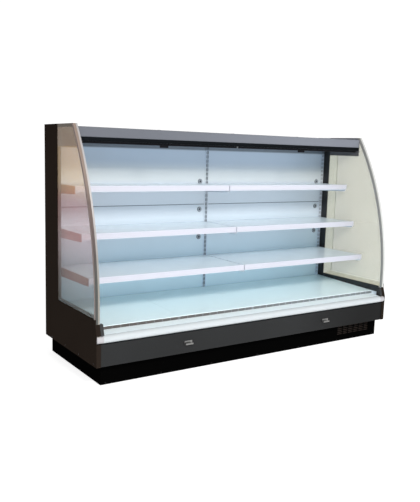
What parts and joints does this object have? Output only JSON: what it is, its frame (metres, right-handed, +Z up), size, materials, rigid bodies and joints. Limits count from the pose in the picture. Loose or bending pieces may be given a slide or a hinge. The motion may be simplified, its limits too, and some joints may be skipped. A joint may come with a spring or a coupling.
{
  "type": "open multideck display fridge",
  "caption": "Open-fronted display fridge with glazed ends, a canopy, two columns of shelves, a slotted ledge, a deck and pull-down night blinds.",
  "frame": {"origin": "middle of the cabinet's footprint, on the floor", "axes": "+X along the width to the right as seen from the front, +Y towards the back, +Z up"},
  "size_m": [2.56, 0.872, 1.605],
  "materials": {
    "plinth": "satin",
    "foot": "satin",
    "outer_sheet": "satin",
    "foam": "matte",
    "liner": "satin",
    "end_panel": "satin",
    "glass": "polished",
    "spacer": "matte",
    "trim": "satin",
    "black_frame": "satin",
    "front_panel": "satin",
    "nose": "satin",
    "nose_cap": "matte",
    "ledge": "satin",
    "catch": "satin",
    "fascia": "satin",
    "end_plate": "satin",
    "honeycomb": "satin",
    "light": "gloss",
    "cassette": "satin",
    "roller": "satin",
    "cloth": "matte",
    "pull_bar": "satin",
    "back_panel": "satin",
    "upright": "satin",
    "socket": "satin",
    "bracket": "satin",
    "shelf": "satin",
    "price_rail": "gloss",
    "deck": "satin",
    "coil": "satin",
    "fan_plate": "satin",
    "motor": "matte",
    "rotor": "satin",
    "drain": "matte"
  },
  "bodies": {
    "cabinet": {"base_frame": "plinth", "kick_plate": "plinth", "levelling_feet": "foot", "tub_outer_pan": "outer_sheet", "rear_outer_panel": "outer_sheet", "roof_panel": "outer_sheet", "foam_cores": "foam", "inner_liners": "liner", "right_end_panel": "end_panel", "left_end_panel": "end_panel", "right_side_glass": "glass", "left_side_glass": "glass", "glass_spacers": "spacer", "glass_trims": "trim", "glass_frames": "black_frame", "corner_blocks": "black_frame", "front_panel": "front_panel", "nose_profile": "nose", "nose_end_caps": "nose_cap", "front_ledges": "ledge", "blind_catches": "catch", "canopy_fascia": "fascia", "canopy_end_plates": "end_plate", "ceiling_duct_panel": "liner", "discharge_honeycomb": "honeycomb", "canopy_lights": "light", "blind_cassette": "cassette", "duct_panels": "back_panel", "uprights": "upright", "lamp_sockets": "socket", "shelf_brackets": "bracket", "evaporator_coil": "coil", "fan_plate": "fan_plate", "fan_motors": "motor", "drain_pipe": "drain"},
    "right_blind_bar": {"right_blind_bar": "pull_bar"},
    "right_blind_roller": {"right_blind_roller": "roller", "right_blind_cloth": "cloth"},
    "left_blind_bar": {"left_blind_bar": "pull_bar"},
    "left_blind_roller": {"left_blind_roller": "roller", "left_blind_cloth": "cloth"},
    "upper_right_shelf": {"upper_right_shelf": "shelf", "upper_right_price_rail": "price_rail"},
    "upper_left_shelf": {"upper_left_shelf": "shelf", "upper_left_price_rail": "price_rail"},
    "middle_right_shelf": {"middle_right_shelf": "shelf", "middle_right_price_rail": "price_rail"},
    "middle_left_shelf": {"middle_left_shelf": "shelf", "middle_left_price_rail": "price_rail"},
    "lower_right_shelf": {"lower_right_shelf": "shelf", "lower_right_price_rail": "price_rail"},
    "lower_left_shelf": {"lower_left_shelf": "shelf", "lower_left_price_rail": "price_rail"},
    "deck_pan_1": {"deck_pan_1": "deck"},
    "deck_pan_2": {"deck_pan_2": "deck"},
    "deck_pan_3": {"deck_pan_3": "deck"},
    "deck_pan_4": {"deck_pan_4": "deck"},
    "fan_rotor_1": {"fan_rotor_1": "rotor"},
    "fan_rotor_2": {"fan_rotor_2": "rotor"},
    "fan_rotor_3": {"fan_rotor_3": "rotor"}
  },
  "joints": [
    {"name": "right_blind_pull", "type": "slide", "parent": "cabinet", "child": "right_blind_bar", "axis": [0, -0.3102, -0.9507], "range_m": [0, 1.325], "stiffness_N_per_m": 3, "springref_m": -3},
    {"name": "right_roller_spin", "type": "hinge", "parent": "cabinet", "child": "right_blind_roller", "pos_m": [0, -0.032, 1.556], "axis": [1, 0, 0], "range_deg": [0, 5500]},
    {"name": "left_blind_pull", "type": "slide", "parent": "cabinet", "child": "left_blind_bar", "axis": [0, -0.3102, -0.9507], "range_m": [0, 1.325], "stiffness_N_per_m": 3, "springref_m": -3},
    {"name": "left_roller_spin", "type": "hinge", "parent": "cabinet", "child": "left_blind_roller", "pos_m": [0, -0.032, 1.556], "axis": [1, 0, 0], "range_deg": [0, 5500]},
    {"name": "upper_right_shelf_tip", "type": "hinge", "parent": "cabinet", "child": "upper_right_shelf", "pos_m": [0, 0.33, 1.1805], "axis": [-1, 0, 0], "range_deg": [0, 15]},
    {"name": "upper_left_shelf_tip", "type": "hinge", "parent": "cabinet", "child": "upper_left_shelf", "pos_m": [0, 0.33, 1.1805], "axis": [-1, 0, 0], "range_deg": [0, 15]},
    {"name": "middle_right_shelf_tip", "type": "hinge", "parent": "cabinet", "child": "middle_right_shelf", "pos_m": [0, 0.33, 0.8799], "axis": [-1, 0, 0], "range_deg": [0, 15]},
    {"name": "middle_left_shelf_tip", "type": "hinge", "parent": "cabinet", "child": "middle_left_shelf", "pos_m": [0, 0.33, 0.8799], "axis": [-1, 0, 0], "range_deg": [0, 15]},
    {"name": "lower_right_shelf_tip", "type": "hinge", "parent": "cabinet", "child": "lower_right_shelf", "pos_m": [0, 0.33, 0.6127], "axis": [-1, 0, 0], "range_deg": [0, 15]},
    {"name": "lower_left_shelf_tip", "type": "hinge", "parent": "cabinet", "child": "lower_left_shelf", "pos_m": [0, 0.33, 0.6127], "axis": [-1, 0, 0], "range_deg": [0, 15]},
    {"name": "deck_pan_1_lift", "type": "slide", "parent": "cabinet", "child": "deck_pan_1", "axis": [0, 0, 1], "range_m": [0, 0.14]},
    {"name": "deck_pan_2_lift", "type": "slide", "parent": "cabinet", "child": "deck_pan_2", "axis": [0, 0, 1], "range_m": [0, 0.14]},
    {"name": "deck_pan_3_lift", "type": "slide", "parent": "cabinet", "child": "deck_pan_3", "axis": [0, 0, 1], "range_m": [0, 0.14]},
    {"name": "deck_pan_4_lift", "type": "slide", "parent": "cabinet", "child": "deck_pan_4", "axis": [0, 0, 1], "range_m": [0, 0.14]},
    {"name": "fan_rotor_1_spin", "type": "hinge", "parent": "cabinet", "child": "fan_rotor_1", "pos_m": [-0.78, -0.184, 0.25225], "axis": [0, 1, 0], "continuous": true},
    {"name": "fan_rotor_2_spin", "type": "hinge", "parent": "cabinet", "child": "fan_rotor_2", "pos_m": [0, -0.184, 0.25225], "axis": [0, 1, 0], "continuous": true},
    {"name": "fan_rotor_3_spin", "type": "hinge", "parent": "cabinet", "child": "fan_rotor_3", "pos_m": [0.78, -0.184, 0.25225], "axis": [0, 1, 0], "continuous": true}
  ],
  "couplings": [
    {"joint": "right_roller_spin", "follows": "right_blind_pull", "rad_per_m": 71.43},
    {"joint": "left_roller_spin", "follows": "left_blind_pull", "rad_per_m": 71.43}
  ]
}
